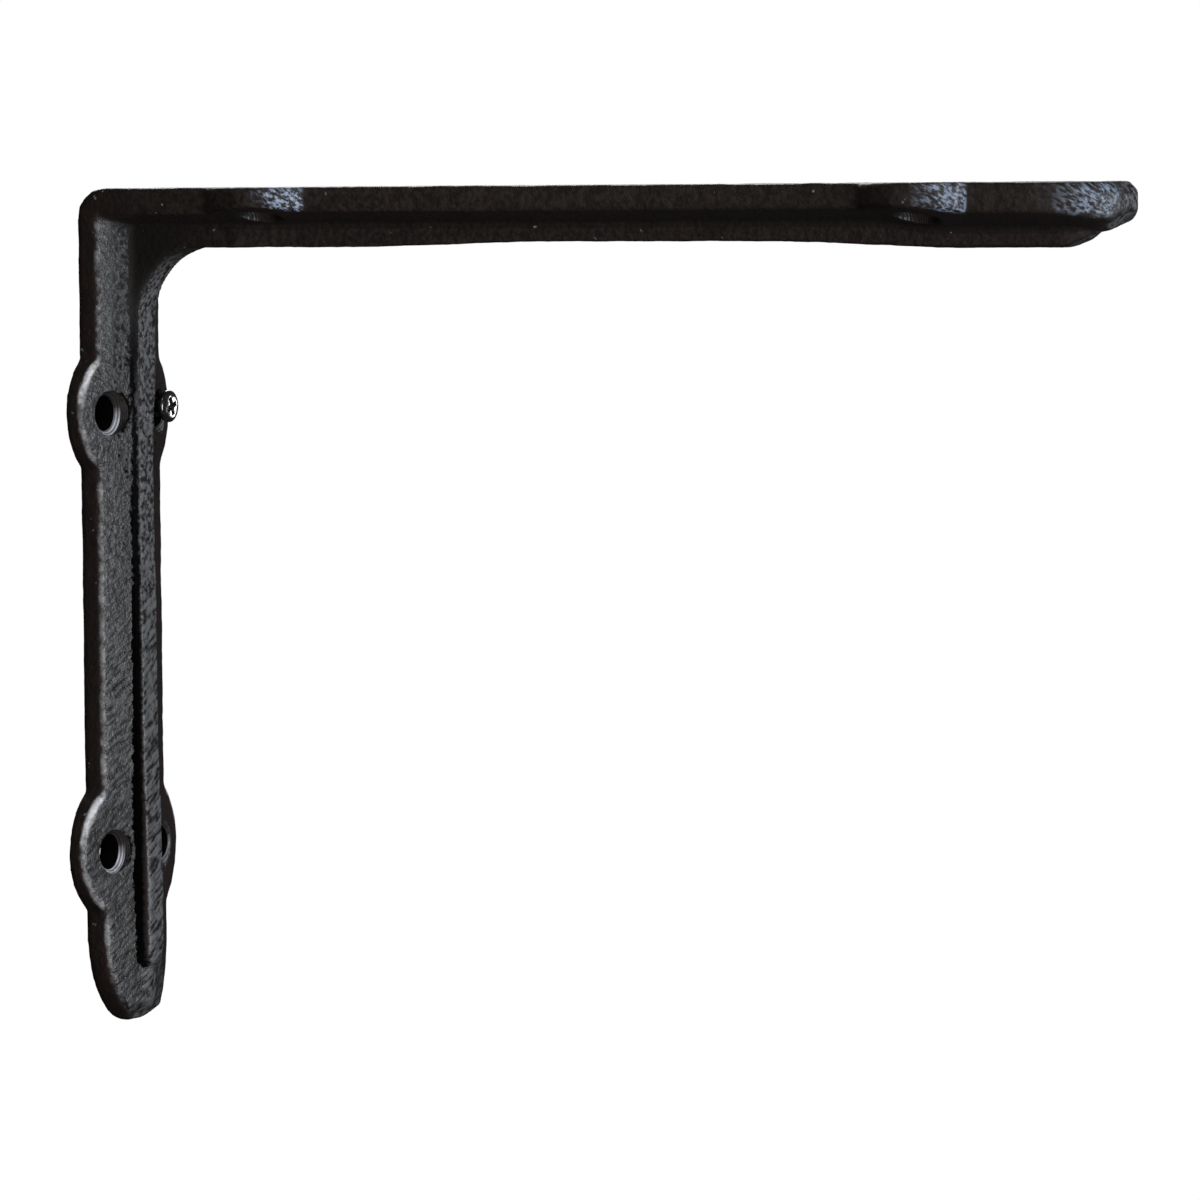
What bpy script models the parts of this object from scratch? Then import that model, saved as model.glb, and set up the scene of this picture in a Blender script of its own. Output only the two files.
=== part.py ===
"""A cast iron shelf bracket, 200 mm by 150 mm, with one wood screw in it.

The casting is an L of two flat-backed limbs. Each limb rises like a low roof from its two edges to a
raised rib, which runs on round the inside of the corner. Two pairs of screw lugs swell out of each
limb, and both limbs end in a rounded tongue.

X points out from the wall, Y runs across the bracket and Z points up. The origin is on the wall face,
on the centre line, midway between the two pairs of wall screws. Lengths are in metres.
"""

import math
from collections import namedtuple

import bpy

# the whole bracket
ARM_LENGTH = 0.200
LEG_LENGTH = 0.150
WIDTH = 0.020
CORNER_RADIUS = 0.0052
FILLET_RADIUS = 0.013
EDGE_ROUNDING = 0.0010
BACK_EASE = 0.0003
TIP_BACK_EASE = 0.0015

# the roof-shaped section of both limbs: pairs of a place along the limb and a value there
LEG_EDGE_HEIGHTS = ((0.024, 0.0042), (0.121, 0.0042), (0.136, 0.0045))
LEG_ROOF_SLOPES = ((0.024, 0.44), (0.065, 0.32), (0.121, 0.27))
ARM_EDGE_HEIGHTS = ((0.021, 0.0045), (0.050, 0.0042), (0.153, 0.0042), (0.168, 0.0050))
ARM_ROOF_SLOPES = ((0.021, 0.27), (0.153, 0.27), (0.168, 0.33))
LUG_SLOPE = 0.17

# the rib on the ridge, and its height off the back
RIB_WIDTH = 0.0050
RIB_DRAFT = 0.0002
RIB_FLARE = 0.0011
FLARE_LENGTH = 0.022
LEG_RIB_HEIGHTS = ((0.024, 0.0081), (0.050, 0.0076), (0.090, 0.0078), (0.130, 0.0086))
ARM_RIB_HEIGHTS = ((0.021, 0.0104), (0.050, 0.0104), (0.092, 0.0095), (0.133, 0.0095), (0.172, 0.0107))
RIDGE_FLAT = 0.0004

# the rib's nose near the end of each limb
LEG_NOSE_SETBACK = 0.0100
LEG_NOSE_LENGTH = 0.0040
LEG_NOSE_DROP = 0.0005
ARM_NOSE_SETBACK = 0.0053
ARM_NOSE_LENGTH = 0.0065
ARM_NOSE_DROP = 0.0026
NOSE_BLUNTNESS = 3
NOSE_FOOT = 0.0003
NOSE_SHARES = (1.0, 0.75, 0.5, 0.3, 0.13, 0.0)

# the tongue at the end of each limb
TONGUE_LENGTH = 0.0160
TONGUE_FULLNESS = 0.88
TONGUE_TIP_WIDTH = 0.0040
TIP_SLOPE = 0.82

# the screw lugs: each is an arc whose centre lies a little off the limb's centre line
LUG_BLEND = 0.0015
LEG_SCREWS = (0.0400, 0.1188)
LEG_LUGS = ((0.0125, 0.0022), (0.0131, 0.0025))
ARM_SCREWS = (0.0370, 0.1645)
ARM_LUGS = ((0.0125, 0.0022), (0.0125, 0.0022))
SCREW_OFFSET = 0.0082
BORE_DIAMETER = 0.0055
SINK_DIAMETER = 0.0078
SINK_DEPTH = 0.0009
CUTTER_REACH = 0.004

# the wood screw in the far upper hole of the leg
HEAD_DIAMETER = 0.0058
HEAD_HEIGHT = 0.0010
HEAD_TOP = 0.0080
HEAD_CONE = 0.0017
SCREW_RISE = 0.00070
SHANK_DIAMETER = 0.0038
SHANK_END = 0.0004
SHANK_CHAMFER = 0.0006
HEAD_SHOULDER = 0.0004
HEAD_FULLNESS = 0.8
RECESS_DEPTH = 0.0011
RECESS_LENGTH = 0.0036
RECESS_FOOT_LENGTH = 0.0018
RECESS_WIDTH = 0.0010
RECESS_TURN = 20
RECESS_OVERCUT = 0.0005

# facets
EDGE_STEPS = 3
LUG_STEPS = 12
TONGUE_STEPS = 8
HOLE_SIDES = 24
SCREW_SIDES = 28
HEAD_STEPS = 8
MARK_STEPS = 4
SHARP_ANGLE = 40

ARM_TOP = (LEG_SCREWS[0] + LEG_SCREWS[1]) / 2
HALF_WIDTH = WIDTH / 2

Limb = namedtuple(
    "Limb",
    "length screws lugs edge_heights roof_slopes rib_heights nose_setback nose_length nose_drop",
)
LEG = Limb(
    LEG_LENGTH, LEG_SCREWS, LEG_LUGS, LEG_EDGE_HEIGHTS, LEG_ROOF_SLOPES, LEG_RIB_HEIGHTS,
    LEG_NOSE_SETBACK, LEG_NOSE_LENGTH, LEG_NOSE_DROP,
)
ARM = Limb(
    ARM_LENGTH, ARM_SCREWS, ARM_LUGS, ARM_EDGE_HEIGHTS, ARM_ROOF_SLOPES, ARM_RIB_HEIGHTS,
    ARM_NOSE_SETBACK, ARM_NOSE_LENGTH, ARM_NOSE_DROP,
)
FILLET_CENTRE = (LEG_RIB_HEIGHTS[0][1] + FILLET_RADIUS, -(ARM_RIB_HEIGHTS[0][1] + FILLET_RADIUS))
LEG_START = -FILLET_CENTRE[1]
ARM_START = FILLET_CENTRE[0]


def clear_scene():
    for obj in list(bpy.data.objects):
        bpy.data.objects.remove(obj, do_unlink=True)


def make_material(name, colour, roughness, metallic):
    material = bpy.data.materials.new(name)
    material.use_nodes = True
    shader = material.node_tree.nodes["Principled BSDF"]
    shader.inputs["Base Color"].default_value = (*colour, 1.0)
    shader.inputs["Roughness"].default_value = roughness
    shader.inputs["Metallic"].default_value = metallic
    return material


def smooth_step(low, high, value):
    share = min(1.0, max(0.0, (value - low) / (high - low)))
    return share * share * (3 - 2 * share)


def value_along(pairs, along):
    """The value at a place along a limb, eased from each of the pairs to the next."""
    value = pairs[0][1]
    for before, after in zip(pairs, pairs[1:]):
        value += (after[1] - before[1]) * smooth_step(before[0], after[0], along)
    return value


def lug_half_widths(radius, centre):
    """One lug from its start to its end, as pairs of distance from its screws and half-width."""
    blend_rise = HALF_WIDTH + LUG_BLEND - centre
    blend_centre = math.sqrt((radius + LUG_BLEND) ** 2 - blend_rise ** 2)
    blend_turn = math.atan2(blend_centre, blend_rise)
    side = []
    for step in range(3):
        turn = blend_turn * step / 3
        side.append((
            blend_centre - LUG_BLEND * math.sin(turn),
            HALF_WIDTH + LUG_BLEND * (1 - math.cos(turn)),
        ))
    for step in range(LUG_STEPS // 2 + 1):
        turn = blend_turn * (1 - 2 * step / LUG_STEPS)
        side.append((radius * math.sin(turn), centre + radius * math.cos(turn)))
    return [(-x, w) for x, w in side] + [(x, w) for x, w in reversed(side[:-1])]


def limb_outline(limb, start):
    """The limb's half-width from its start to its tip, as pairs of distance along and half-width."""
    outline = [(start, HALF_WIDTH)]
    for screw, (radius, centre) in zip(limb.screws, limb.lugs):
        outline += [(screw + x, w) for x, w in lug_half_widths(radius, centre)]
    last_turn = math.acos((TONGUE_TIP_WIDTH / WIDTH) ** (1 / TONGUE_FULLNESS))
    for step in range(TONGUE_STEPS + 1):
        turn = last_turn * step / TONGUE_STEPS
        along = limb.length - TONGUE_LENGTH * (1 - math.sin(turn) / math.sin(last_turn))
        outline.append((along, HALF_WIDTH * math.cos(turn) ** TONGUE_FULLNESS))
    return outline


def outward_directions(outline):
    """At each point of an outline its outward direction, as its parts along and across the limb."""
    directions = []
    past_tip = (outline[-1][0], -outline[-1][1])
    for before, after in zip([outline[0]] + outline[:-1], outline[1:] + [past_tip]):
        run, rise = after[0] - before[0], after[1] - before[1]
        size = math.hypot(run, rise)
        directions.append((-rise / size, run / size))
    return directions


def station_between(stations, along):
    """The half-width and outward direction at a place between two stations."""
    for before, after in zip(stations, stations[1:]):
        if before[0] <= along <= after[0]:
            share = (along - before[0]) / (after[0] - before[0])
            return tuple(low + share * (high - low) for low, high in zip(before, after))
    raise ValueError("this place is not on the limb")


def limb_stations(limb, start):
    """Where the limb's sections lie, as place along, half-width and the two parts of its direction.

    They are each point of its outline, then its nose and its changes of section.
    """
    outline = limb_outline(limb, start)
    stations = [point + way for point, way in zip(outline, outward_directions(outline))]
    nose_tip = limb.length - limb.nose_setback
    marks = [nose_tip - limb.nose_length * share for share in NOSE_SHARES]
    marks.append(nose_tip + NOSE_FOOT)
    marks += [start + FLARE_LENGTH * step / MARK_STEPS for step in range(1, MARK_STEPS + 1)]
    for pairs in (limb.edge_heights, limb.roof_slopes, limb.rib_heights):
        for before, after in zip(pairs, pairs[1:]):
            span = after[0] - before[0]
            marks += [before[0] + span * step / MARK_STEPS for step in range(MARK_STEPS + 1)]
    for mark in marks:
        crowded = [station for station in stations if abs(mark - station[0]) < 0.4 * NOSE_FOOT]
        if mark > start and not crowded:
            stations.append(station_between(stations, mark))
            stations.sort()
    return stations


def rounded_edge(half_width, edge_height, roof):
    """The edge from its eased back corner round to the roof, as pairs of inset and height."""
    tilt = math.atan2(roof(half_width - EDGE_ROUNDING) - edge_height, EDGE_ROUNDING)
    middle = roof(half_width - EDGE_ROUNDING) - EDGE_ROUNDING / math.cos(tilt)
    turns = [(math.pi / 2 - tilt) * step / EDGE_STEPS for step in range(EDGE_STEPS + 1)]
    return [
        (EDGE_ROUNDING * (1 - math.cos(turn)), middle + EDGE_ROUNDING * math.sin(turn))
        for turn in turns
    ]


def limb_section(limb, start, along, half_width, direction):
    """Half a section, from the back round the edge to the rib's crest.

    Each point is its distance across, its distance along the limb and its height off the back.
    """
    edge_height = value_along(limb.edge_heights, along)
    slope = value_along(limb.roof_slopes, along)
    ceiling = edge_height + TIP_SLOPE * (limb.length - along)

    def roof(across):
        rise = slope * (HALF_WIDTH - across) if across < HALF_WIDTH else LUG_SLOPE * (HALF_WIDTH - across)
        return min(edge_height + rise, ceiling)

    to_tip = smooth_step(limb.length - TONGUE_LENGTH, limb.length, along)
    ease = BACK_EASE + (TIP_BACK_EASE - BACK_EASE) * to_tip
    edge = [(ease, 0.0), (0.0, ease)] + rounded_edge(half_width, roof(half_width), roof)
    section = [
        (half_width - inset * direction[1], along - inset * direction[0], height)
        for inset, height in edge
    ]

    nose_start = limb.length - limb.nose_setback - limb.nose_length
    nose = max(0.0, (along - nose_start) / limb.nose_length)
    flare = RIB_FLARE * (1 - smooth_step(start, start + FLARE_LENGTH, along))
    rib_half = (RIB_WIDTH / 2 + flare) * math.sqrt(max(0.0, 1 - nose ** NOSE_BLUNTNESS))
    crest = min(section[-1][0] / 3, max(RIDGE_FLAT, rib_half))
    foot = min(section[-1][0] / 2, crest + RIB_DRAFT)
    past_nose = nose > 1 + 0.4 * NOSE_FOOT / limb.nose_length
    height = value_along(limb.rib_heights, along) - limb.nose_drop * nose ** 1.5
    inner_along = section[-1][1]
    section.append((foot, inner_along, roof(foot)))
    section.append((crest, inner_along, roof(crest) if past_nose else max(height, roof(crest))))
    return section


def limb_sections(limb, start):
    return [
        limb_section(limb, start, along, half_width, direction)
        for along, half_width, *direction in limb_stations(limb, start)[1:]
    ]


def ray_reach(turn, off_wall, off_top, radius):
    """How far a ray from the fillet's centre runs to a line inside the back.

    The line lies off_wall from the wall and off_top from the shelf, and turns the corner between them
    with the given radius, or sharply where that is zero.
    """
    out = (math.cos(turn), math.sin(turn))
    to_wall = (off_wall - FILLET_CENTRE[0]) / out[0] if out[0] < -1e-6 else math.inf
    to_top = (-off_top - FILLET_CENTRE[1]) / out[1] if out[1] > 1e-6 else math.inf
    reach = min(to_wall, to_top)
    arc_x, arc_z = off_wall + radius, -off_top - radius
    x, z = FILLET_CENTRE[0] + reach * out[0], FILLET_CENTRE[1] + reach * out[1]
    if x < arc_x - 1e-9 and z > arc_z + 1e-9:
        dx, dz = FILLET_CENTRE[0] - arc_x, FILLET_CENTRE[1] - arc_z
        along = dx * out[0] + dz * out[1]
        reach = -along + math.sqrt(along ** 2 - (dx ** 2 + dz ** 2) + radius ** 2)
    return reach


def corner_sections():
    """Sections that fan round the corner, from the leg to the arm, about the centre of the fillet."""
    wall_side = limb_section(LEG, LEG_START, LEG_START, HALF_WIDTH, (0.0, 1.0))
    shelf_side = limb_section(ARM, ARM_START, ARM_START, HALF_WIDTH, (0.0, 1.0))
    low = math.atan2(-CORNER_RADIUS - FILLET_CENTRE[1], -FILLET_CENTRE[0])
    high = math.atan2(-FILLET_CENTRE[1], CORNER_RADIUS - FILLET_CENTRE[0])
    turns = [math.pi + (low - math.pi) * step / 4 for step in range(4)]
    turns += [low + (high - low) * step / 4 for step in range(5)]
    turns += [high + (math.pi / 2 - high) * step / 4 for step in range(1, 5)]
    sections = []
    for turn in turns:
        section = []
        for index, (of_leg, of_arm) in enumerate(zip(wall_side, shelf_side)):
            radius = max(0.0, CORNER_RADIUS - min(of_leg[2], of_arm[2])) if index < 2 else 0.0
            reach = ray_reach(turn, of_leg[2], of_arm[2], radius)
            if of_leg is wall_side[-1]:
                reach = FILLET_RADIUS
            section.append((
                of_leg[0],
                FILLET_CENTRE[0] + reach * math.cos(turn),
                FILLET_CENTRE[1] + reach * math.sin(turn),
            ))
        sections.append(section)
    return sections


def bracket_sections():
    """Every section from the leg's tip to the arm's tip, each half a section as (across, x, z)."""
    down = [
        [(across, rise, -along) for across, along, rise in section]
        for section in limb_sections(LEG, LEG_START)
    ]
    out = [
        [(across, along, -rise) for across, along, rise in section]
        for section in limb_sections(ARM, ARM_START)
    ]
    return down[::-1] + corner_sections() + out


def bracket_mesh():
    vertices, faces = [], []
    rings = []
    for half in bracket_sections():
        ring = [(-across, x, z) for across, x, z in half]
        ring += [(across, x, z) for across, x, z in reversed(half)]
        rings.append(range(len(vertices), len(vertices) + len(ring)))
        vertices += [(x, across, z + ARM_TOP) for across, x, z in ring]
    for ring, following in zip(rings, rings[1:]):
        for side in range(len(ring)):
            after = (side + 1) % len(ring)
            faces.append((ring[side], ring[after], following[after], following[side]))
    # each end is closed by strips that run across it, the last of them along the roof
    last = EDGE_STEPS + 1
    for ring, turn_over in ((rings[0], True), (rings[-1], False)):
        strips = [(ring[k], ring[k + 1], ring[-2 - k], ring[-1 - k]) for k in range(last)]
        strips.append(tuple(ring[last:-last]))
        faces += [strip[::-1] if turn_over else strip for strip in strips]
    mesh = bpy.data.meshes.new("bracket")
    mesh.from_pydata(vertices, [], faces)
    return mesh


def turned_mesh(name, profile, sides):
    """A solid turned about local Z from (radius, height) pairs, with its first and last ends capped."""
    vertices = [
        (r * math.cos(2 * math.pi * k / sides), r * math.sin(2 * math.pi * k / sides), z)
        for r, z in profile
        for k in range(sides)
    ]
    faces = []
    for low in range(0, (len(profile) - 1) * sides, sides):
        high = low + sides
        for k in range(sides):
            after = (k + 1) % sides
            faces.append((low + k, low + after, high + after, high + k))
    faces.append(tuple(reversed(range(sides))))
    faces.append(tuple(range((len(profile) - 1) * sides, len(profile) * sides)))
    mesh = bpy.data.meshes.new(name)
    mesh.from_pydata(vertices, [], faces)
    return mesh


def add_object(name, mesh):
    obj = bpy.data.objects.new(name, mesh)
    bpy.context.scene.collection.objects.link(obj)
    return obj


def cut_with(obj, cutter):
    cutter.hide_render = True
    cutter.display_type = "WIRE"
    cut = obj.modifiers.new(cutter.name, "BOOLEAN")
    cut.operation = "DIFFERENCE"
    cut.solver = "EXACT"
    cut.object = cutter


def add_screw_hole(bracket, limb, row, name, place, turn):
    """A countersunk hole whose axis is square to the back. Local Z points out of the roof face."""
    slope = value_along(limb.roof_slopes, limb.screws[row])
    face = value_along(limb.edge_heights, limb.screws[row]) + slope * (HALF_WIDTH - SCREW_OFFSET)
    bore, sink = BORE_DIAMETER / 2, SINK_DIAMETER / 2
    profile = [
        (bore, -CUTTER_REACH),
        (bore, face - SINK_DEPTH),
        (sink, face),
        (sink, face + CUTTER_REACH),
    ]
    cutter = add_object(name, turned_mesh(name, profile, HOLE_SIDES))
    cutter.location = place
    cutter.rotation_euler = turn
    cut_with(bracket, cutter)


def add_bracket():
    bracket = add_object("bracket", bracket_mesh())
    out_of_wall = (0.0, math.pi / 2, 0.0)
    below_shelf = (math.pi, 0.0, 0.0)
    for side in (-1, 1):
        for row, drop in enumerate(LEG_SCREWS):
            place = (0.0, side * SCREW_OFFSET, ARM_TOP - drop)
            add_screw_hole(bracket, LEG, row, f"wall_hole_{row}_{side}", place, out_of_wall)
        for row, reach in enumerate(ARM_SCREWS):
            place = (reach, side * SCREW_OFFSET, ARM_TOP)
            add_screw_hole(bracket, ARM, row, f"shelf_hole_{row}_{side}", place, below_shelf)
    bracket.data.materials.append(make_material("cast iron", (0.035, 0.032, 0.032), 0.55, 0.6))
    return bracket


def recess_mesh():
    """One blade of the crossed recess: it narrows towards its foot."""
    foot, top = HEAD_TOP - RECESS_DEPTH, HEAD_TOP + RECESS_OVERCUT
    vertices = [
        (side_x * length / 2, side_y * RECESS_WIDTH / 2, z)
        for z, length in ((foot, RECESS_FOOT_LENGTH), (top, RECESS_LENGTH))
        for side_x, side_y in ((-1, -1), (1, -1), (1, 1), (-1, 1))
    ]
    faces = [(3, 2, 1, 0), (4, 5, 6, 7)] + [(k, (k + 1) % 4, (k + 1) % 4 + 4, k + 4) for k in range(4)]
    mesh = bpy.data.meshes.new("recess")
    mesh.from_pydata(vertices, [], faces)
    return mesh


def add_screw():
    """A countersunk wood screw with a low round top and a crossed recess, standing proud of the hole."""
    head, shank = HEAD_DIAMETER / 2, SHANK_DIAMETER / 2
    under_head = HEAD_TOP - HEAD_HEIGHT
    profile = [
        (shank - SHANK_CHAMFER, SHANK_END),
        (shank, SHANK_END + SHANK_CHAMFER),
        (shank, under_head - HEAD_CONE),
        (head, under_head),
    ]
    for step in range(HEAD_STEPS):
        turn = math.pi / 2 * step / HEAD_STEPS
        rise = HEAD_SHOULDER + (HEAD_HEIGHT - HEAD_SHOULDER) * math.sin(turn)
        profile.append((head * math.cos(turn) ** HEAD_FULLNESS, under_head + rise))
    screw = add_object("screw", turned_mesh("screw", profile, SCREW_SIDES))
    screw.location = (0.0, SCREW_OFFSET, ARM_TOP - LEG_SCREWS[0] + SCREW_RISE)
    screw.rotation_euler = (0.0, math.pi / 2, 0.0)
    for index in range(2):
        blade = add_object(f"recess_{index}", recess_mesh())
        blade.location = screw.location
        blade.rotation_euler = screw.rotation_euler
        blade.rotation_euler.rotate_axis("Z", math.radians(RECESS_TURN + 90 * index))
        cut_with(screw, blade)
    for face in screw.data.polygons:
        face.use_smooth = True
    screw.data.set_sharp_from_angle(angle=math.radians(SHARP_ANGLE))
    screw.data.materials.append(make_material("black steel", (0.012, 0.012, 0.013), 0.25, 1.0))
    return screw


clear_scene()
add_bracket()
add_screw()
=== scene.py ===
import math

import bpy
import numpy as np
from mathutils import Matrix, Vector


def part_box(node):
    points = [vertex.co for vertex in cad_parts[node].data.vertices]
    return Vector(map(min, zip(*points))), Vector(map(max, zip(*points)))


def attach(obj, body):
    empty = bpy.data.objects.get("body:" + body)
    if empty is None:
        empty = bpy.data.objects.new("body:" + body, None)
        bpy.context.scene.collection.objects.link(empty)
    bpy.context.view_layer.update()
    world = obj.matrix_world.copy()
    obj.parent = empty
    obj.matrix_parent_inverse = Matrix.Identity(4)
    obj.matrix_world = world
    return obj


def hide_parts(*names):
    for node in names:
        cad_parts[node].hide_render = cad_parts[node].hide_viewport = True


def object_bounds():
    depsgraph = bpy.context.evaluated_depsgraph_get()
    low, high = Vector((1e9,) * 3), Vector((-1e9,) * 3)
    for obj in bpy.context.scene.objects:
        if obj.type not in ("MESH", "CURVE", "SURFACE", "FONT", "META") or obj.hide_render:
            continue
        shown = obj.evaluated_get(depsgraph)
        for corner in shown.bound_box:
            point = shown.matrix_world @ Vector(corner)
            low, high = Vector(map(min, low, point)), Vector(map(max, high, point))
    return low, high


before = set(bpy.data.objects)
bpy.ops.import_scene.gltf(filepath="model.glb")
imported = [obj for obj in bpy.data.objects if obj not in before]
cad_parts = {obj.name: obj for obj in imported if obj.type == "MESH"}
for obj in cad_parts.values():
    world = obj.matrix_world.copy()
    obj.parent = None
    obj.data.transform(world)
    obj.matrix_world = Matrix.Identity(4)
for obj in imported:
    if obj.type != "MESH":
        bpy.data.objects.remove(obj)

cad_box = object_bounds()


# The bracket is one iron casting, poured in a sand mould, so every edge is a little rounded and its skin is
# grainy and slightly wavy. It was blackened and wears a thin dark coat, browner on its sides than on the
# faces that hands and boxes have rubbed. Its colour also carries painted light: painted shade in its corners
# and hollows, on its far slopes and under the arm's end, and painted highlights on its rims, flanks and
# countersinks.
SKIN_STEP = 0.00048
EDGE_SOFTENING = 3
SOFTENING_SHARE = 0.5
SKIN_SWELL = 0.00010
WAVE_LENGTH = 0.0070
WAVE_DEPTH = 0.00026
LUMP_LENGTH = 0.0016
LUMP_DEPTH = 0.00012
PATTERN_DETAIL = 2
HOLLOW_REACH = 4
HOLLOW_BLUR = 2
BORE_RADIUS = 0.0032
SINK_RADIUS = 0.0040
SINK_DEPTH = 0.0009
HOLE_OFFSET = 0.0082
# each pair's height on the leg or place along the arm, then how far its lug's face stands off the back
WALL_HOLES = ((0.0394, 0.00491), (-0.0394, 0.00469))
SHELF_HOLES = ((0.0370, 0.00482), (0.1645, 0.00538))
HOLE_REACH = 0.004
HOLE_SIDES = 64
BORE_MARGIN = 0.0001
CAP_ALIGNMENT = 0.99
MERGE_REACH = 0.000001
SHARP_ANGLE = math.radians(50)

bpy.ops.object.select_all(action="DESELECT")
casting = bpy.data.objects.new("cast_bracket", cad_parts["bracket"].data.copy())
bpy.context.scene.collection.objects.link(casting)
casting.select_set(True)
bpy.context.view_layer.objects.active = casting
bpy.ops.object.mode_set(mode="EDIT")
bpy.ops.mesh.select_all(action="SELECT")
bpy.ops.mesh.remove_doubles(threshold=MERGE_REACH)
bpy.ops.object.mode_set(mode="OBJECT")

skin = casting.modifiers.new("even skin", "REMESH")
skin.mode = "VOXEL"
skin.voxel_size = SKIN_STEP
skin.use_smooth_shade = True
bpy.ops.object.modifier_apply(modifier=skin.name)

softened = casting.modifiers.new("softened edges", "SMOOTH")
softened.factor = SOFTENING_SHARE
softened.iterations = EDGE_SOFTENING
bpy.ops.object.modifier_apply(modifier=softened.name)

# how hollow or proud each place is, measured before the sand's own lumps go on
count = len(casting.data.vertices)
points = np.empty(count * 3)
casting.data.vertices.foreach_get("co", points)
points = points.reshape(count, 3)
outward = np.empty(count * 3)
casting.data.vertices.foreach_get("normal", outward)
outward = outward.reshape(count, 3)
ends = np.empty(len(casting.data.edges) * 2, dtype=int)
casting.data.edges.foreach_get("vertices", ends)
ends = ends.reshape(-1, 2)


def mean_of_neighbours(values):
    """For each vertex the mean of a value over the vertices that an edge joins it to."""
    total = np.zeros_like(values)
    neighbours = np.zeros(count)
    for here, there in ((0, 1), (1, 0)):
        np.add.at(total, ends[:, here], values[ends[:, there]])
        np.add.at(neighbours, ends[:, here], 1)
    return (total.T / np.maximum(neighbours, 1)).T


around = points
for step in range(HOLLOW_REACH):
    around = mean_of_neighbours(around)
hollow = np.sum((around - points) * outward, axis=1) / SKIN_STEP
for step in range(HOLLOW_BLUR):
    hollow = mean_of_neighbours(hollow)

store = casting.data.attributes.new("hollow", "FLOAT", "POINT")
store.data.foreach_set("value", hollow.astype(np.float32))

for name, length, depth in (
    ("mould waves", WAVE_LENGTH, WAVE_DEPTH),
    ("sand lumps", LUMP_LENGTH, LUMP_DEPTH),
):
    pattern = bpy.data.textures.new(name, "CLOUDS")
    pattern.noise_scale = length
    pattern.noise_depth = PATTERN_DETAIL
    uneven = casting.modifiers.new(name, "DISPLACE")
    uneven.texture = pattern
    uneven.texture_coords = "LOCAL"
    uneven.strength = depth
    uneven.mid_level = 0.5 - SKIN_SWELL / 2 / depth
    bpy.ops.object.modifier_apply(modifier=uneven.name)

# the screw holes, drilled and countersunk after casting, so their edges are sharp


def select_cap(piece, direction):
    """Selects the end face of a piece that lies furthest in a direction, in face mode."""
    bpy.ops.object.mode_set(mode="EDIT")
    bpy.ops.mesh.select_mode(type="FACE")
    bpy.ops.mesh.select_all(action="DESELECT")
    bpy.ops.object.mode_set(mode="OBJECT")
    caps = [face for face in piece.data.polygons if face.normal.dot(direction) > CAP_ALIGNMENT]
    furthest = max(caps, key=lambda face: face.center.dot(direction))
    furthest.select = True
    bpy.ops.object.mode_set(mode="EDIT")


drilled = bpy.data.materials.new("drilled cast iron")
bore_dark = bpy.data.materials.new("dark bore")
drills = []
for seat, face in WALL_HOLES + SHELF_HOLES:
    for side in (-1, 1):
        bpy.ops.object.select_all(action="DESELECT")
        bore_top = face - SINK_DEPTH
        bpy.ops.mesh.primitive_cylinder_add(
            vertices=HOLE_SIDES,
            radius=BORE_RADIUS,
            depth=bore_top + HOLE_REACH,
            location=(0, 0, (bore_top - HOLE_REACH) / 2),
        )
        drill = bpy.context.object
        bpy.ops.object.transform_apply(location=True, rotation=True, scale=True)
        select_cap(drill, Vector((0, 0, 1)))
        wider = SINK_RADIUS / BORE_RADIUS
        bpy.ops.mesh.extrude_region_move(TRANSFORM_OT_translate={"value": (0, 0, SINK_DEPTH)})
        bpy.ops.transform.resize(value=(wider, wider, 1), center_override=(0, 0, 0))
        bpy.ops.mesh.extrude_region_move(TRANSFORM_OT_translate={"value": (0, 0, HOLE_REACH)})
        bpy.ops.object.mode_set(mode="OBJECT")
        drill.data.materials.append(drilled)
        drill.data.materials.append(bore_dark)
        for wall in drill.data.polygons:
            wall.material_index = 1 if wall.center.z < bore_top - BORE_MARGIN else 0
        if (seat, face) in WALL_HOLES:
            turned = Matrix.Rotation(math.pi / 2, 4, "Y")
            place = Matrix.Translation((0, side * HOLE_OFFSET, seat))
        else:
            turned = Matrix.Rotation(math.pi, 4, "X")
            place = Matrix.Translation((seat, side * HOLE_OFFSET, cad_box[1][2]))
        drill.data.transform(place @ turned)
        drills.append(drill)

bpy.ops.object.select_all(action="DESELECT")
for drill in drills:
    drill.select_set(True)
bpy.context.view_layer.objects.active = drills[0]
bpy.ops.object.join()
casting.data.materials.clear()
iron = bpy.data.materials.new("blackened cast iron")
casting.data.materials.append(iron)
holes = casting.modifiers.new("screw holes", "BOOLEAN")
holes.object = drills[0]
holes.operation = "DIFFERENCE"
holes.solver = "EXACT"
holes.material_mode = "TRANSFER"
bpy.context.view_layer.objects.active = casting
bpy.ops.object.modifier_apply(modifier=holes.name)
bpy.data.objects.remove(drills[0], do_unlink=True)
bpy.ops.object.select_all(action="DESELECT")
casting.select_set(True)
bpy.ops.object.shade_smooth_by_angle(angle=SHARP_ANGLE)

iron.use_nodes = True
tree = iron.node_tree
shader = tree.nodes["Principled BSDF"]


def feed(tree, value, socket):
    """Links a socket to a value that comes from a node, or sets it to a plain number or colour."""
    if isinstance(value, bpy.types.NodeSocket):
        tree.links.new(value, socket)
    else:
        socket.default_value = value


def noise(tree, place, scale, detail, roughness=0.5):
    """A noise pattern of the given number of lumps a metre."""
    node = tree.nodes.new("ShaderNodeTexNoise")
    node.inputs["Scale"].default_value = scale
    node.inputs["Detail"].default_value = detail
    node.inputs["Roughness"].default_value = roughness
    feed(tree, place, node.inputs["Vector"])
    return node.outputs["Fac"]


def spread(tree, value, low, high, to_low=0.0, to_high=1.0):
    """The value's range from low to high, spread over a new range and clamped."""
    node = tree.nodes.new("ShaderNodeMapRange")
    for socket, number in zip(node.inputs, (value, low, high, to_low, to_high)):
        feed(tree, number, socket)
    return node.outputs["Result"]


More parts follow.
